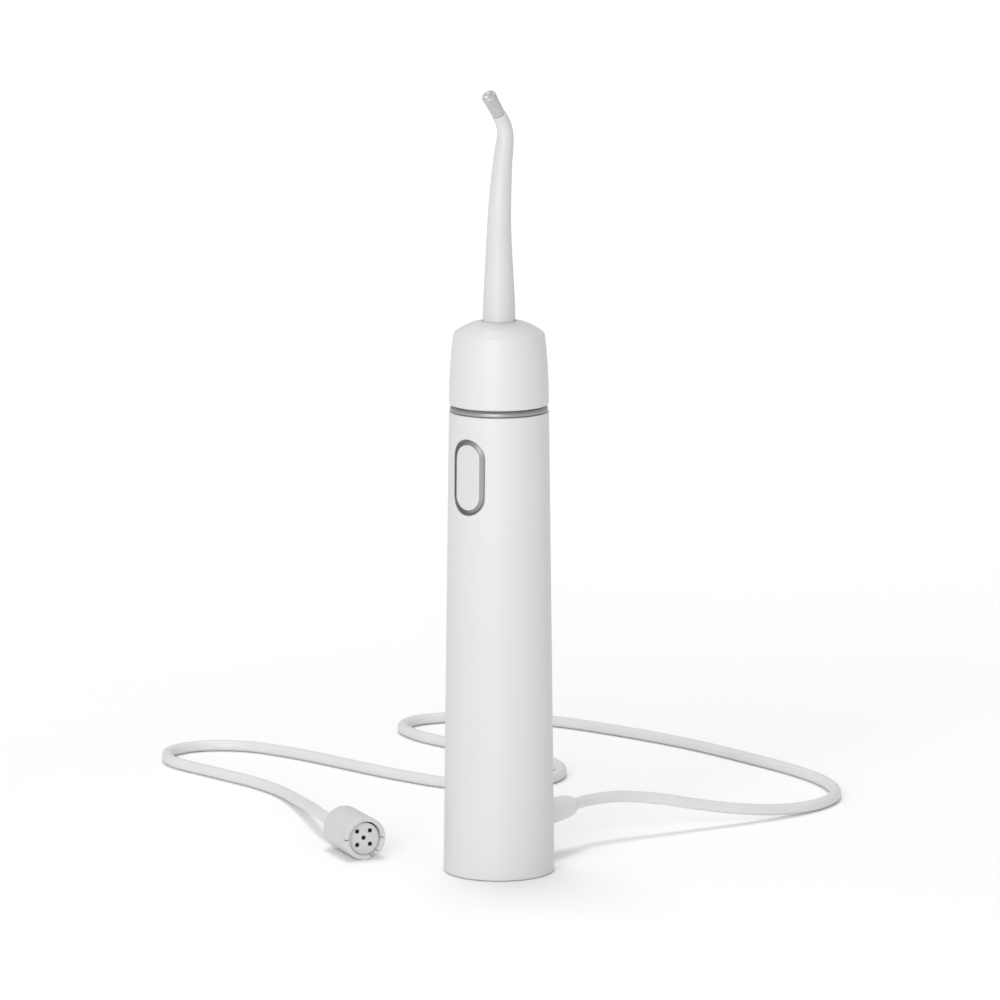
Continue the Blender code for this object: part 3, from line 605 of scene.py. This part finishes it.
# ---- push button and bezel ----
bezel_in = BEZEL_HALF - BEZEL_WIDTH - 0.1
bezel_loops = [
    skin_loop(BEZEL_HALF, BEZEL_STRAIGHT, -0.08), skin_loop(BEZEL_HALF - 0.03, BEZEL_STRAIGHT, -0.04),
    skin_loop(BEZEL_HALF - 0.09, BEZEL_STRAIGHT, -0.04), skin_loop(BEZEL_HALF - 0.14, BEZEL_STRAIGHT, -0.1),
    skin_loop(BEZEL_HALF - 0.16, BEZEL_STRAIGHT, -GROOVE + 0.06),
    skin_loop(BEZEL_HALF - 0.24, BEZEL_STRAIGHT, -GROOVE),
    face_loop(bezel_in + 0.14, BEZEL_STRAIGHT, CAP_SINK + 0.3),
    face_loop(bezel_in + 0.05, BEZEL_STRAIGHT, CAP_SINK + LIP_SINK),
    face_loop(bezel_in, BEZEL_STRAIGHT, CAP_SINK + LIP_SINK + 0.05),
    slot_loop(bezel_in, BEZEL_STRAIGHT, BEZEL_FOOT), slot_loop(FLANGE_HALF, BEZEL_STRAIGHT, BEZEL_FOOT),
    slot_loop(FLANGE_HALF, BEZEL_STRAIGHT, BEZEL_FOOT - 0.8),
    slot_loop(BEZEL_HALF, BEZEL_STRAIGHT, BEZEL_FOOT - 0.8),
]
finish("bezel", loft_mesh("bezel", bezel_loops, closed=True), trim_metal, "handle", ["button_bezel"])
CAP_CLEARANCE = 0.06
CAP_ROUND = 0.18
CAP_STEPS = 6
cap_half = bezel_in - CAP_CLEARANCE
cap_loops = [
    slot_loop(POST_R, 0.0, CAP_BACK + 0.9), slot_loop(POST_R, 0.0, CAP_BACK),
    slot_loop(cap_half, BEZEL_STRAIGHT, CAP_BACK),
]
for k in range(CAP_STEPS):
    bend = math.pi / 2 * k / (CAP_STEPS - 1)
    inward, down = CAP_ROUND * (1 - math.cos(bend)), CAP_ROUND * (1 - math.sin(bend))
    cap_loops.append(face_loop(cap_half - inward, BEZEL_STRAIGHT, CAP_SINK + down))
finish("push_button", loft_mesh("push_button", cap_loops), white_button, "button", ["button_cap"])

# ---- carried-over CAD pieces ----
LOOKS = {
    "base_cap": inner_white, "foot_pad": rubber, "inner_chassis": inner_white, "cable_clamp": inner_white,
    "nose_seal": rubber, "rear_mount_ring": rubber, "front_mount_ring": rubber, "tip_rod": steel,
    "back_mass": steel, "horn": steel, "stack_bolt": steel, "insulating_sleeve": amber,
    "control_board": laminate, "tact_switch": black_switch_and_hole_shade, "switch_plunger": black_switch_and_hole_shade,
    "inner_cable": cord_white, "board_lead": wire_black, "lead_live": wire_red, "lead_return": wire_black,
    "plug_back": plug_white,
}
FAMILIES = (("cap_screw", steel), ("board_screw", steel), ("piezo_ring", ceramic), ("electrode", copper),
            ("plug_contact", gold))
for name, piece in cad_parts.items():
    look = LOOKS.get(name)
    for start_word, family_look in FAMILIES:
        if name.startswith(start_word):
            look = family_look
    if look:
        piece.data.materials.clear()
        piece.data.materials.append(look)

# ---- floor and light, in metres ----
LAMP_AIM = 0.09
floor_mesh = bpy.data.meshes.new("floor")
FLOOR = 6.0
floor_mesh.from_pydata([(-FLOOR, -FLOOR, 0), (FLOOR, -FLOOR, 0), (FLOOR, FLOOR, 0), (-FLOOR, FLOOR, 0)], [],
                       [(0, 1, 2, 3)])
floor = bpy.data.objects.new("floor", floor_mesh)
bpy.context.scene.collection.objects.link(floor)
glowing_floor_paper = surface("glowing_floor_paper", grey(0.93), 0.9, vary=0.004, cloud=8, grain=200, bump=0.01)
paper = glowing_floor_paper.node_tree
# Painted light: the floor glows, with no emission within 0.18 m of the origin and more the farther out, up
# to 0.52 at 2.4 m. This keeps the far floor white, and the glow also lights the object from below.
spot = node(paper, "ShaderNodeTexCoord")
reach = node(paper, "ShaderNodeVectorMath", operation="LENGTH")
paper.links.new(spot.outputs["Object"], reach.inputs[0])
glow = node(paper, "ShaderNodeMapRange", From_Min=0.18, From_Max=2.4, To_Min=0.0, To_Max=0.52)
paper.links.new(reach.outputs["Value"], glow.inputs["Value"])
paper.links.new(glow.outputs["Result"], paper.nodes["Principled BSDF"].inputs["Emission Strength"])
floor_mesh.materials.append(glowing_floor_paper)

world = bpy.data.worlds.new("studio")
bpy.context.scene.world = world
world.use_nodes = True
world.node_tree.nodes["Background"].inputs["Color"].default_value = (1, 1, 1, 1)
world.node_tree.nodes["Background"].inputs["Strength"].default_value = 0.65


def soft_box(name, azimuth, elevation, distance, size, power):
    """A square lamp that faces the axis just below the object's mid-height."""
    data = bpy.data.lights.new(name, "AREA")
    data.shape = "SQUARE"
    data.size = size
    data.energy = power
    lamp = bpy.data.objects.new(name, data)
    bpy.context.scene.collection.objects.link(lamp)
    a, e = math.radians(azimuth), math.radians(elevation)
    back = Vector((math.sin(a) * math.cos(e), -math.cos(a) * math.cos(e), math.sin(e)))
    lamp.location = Vector((0, 0, LAMP_AIM)) + back * distance
    lamp.rotation_euler = back.to_track_quat("Z", "Y").to_euler()
    return lamp


soft_box("key_light", VIEW_AZIMUTH - 16, 16, 1.6, 1.0, 14)
soft_box("top_light", VIEW_AZIMUTH + 195, 78, 2.0, 0.7, 13)
bpy.context.scene.view_settings.view_transform = "Standard"
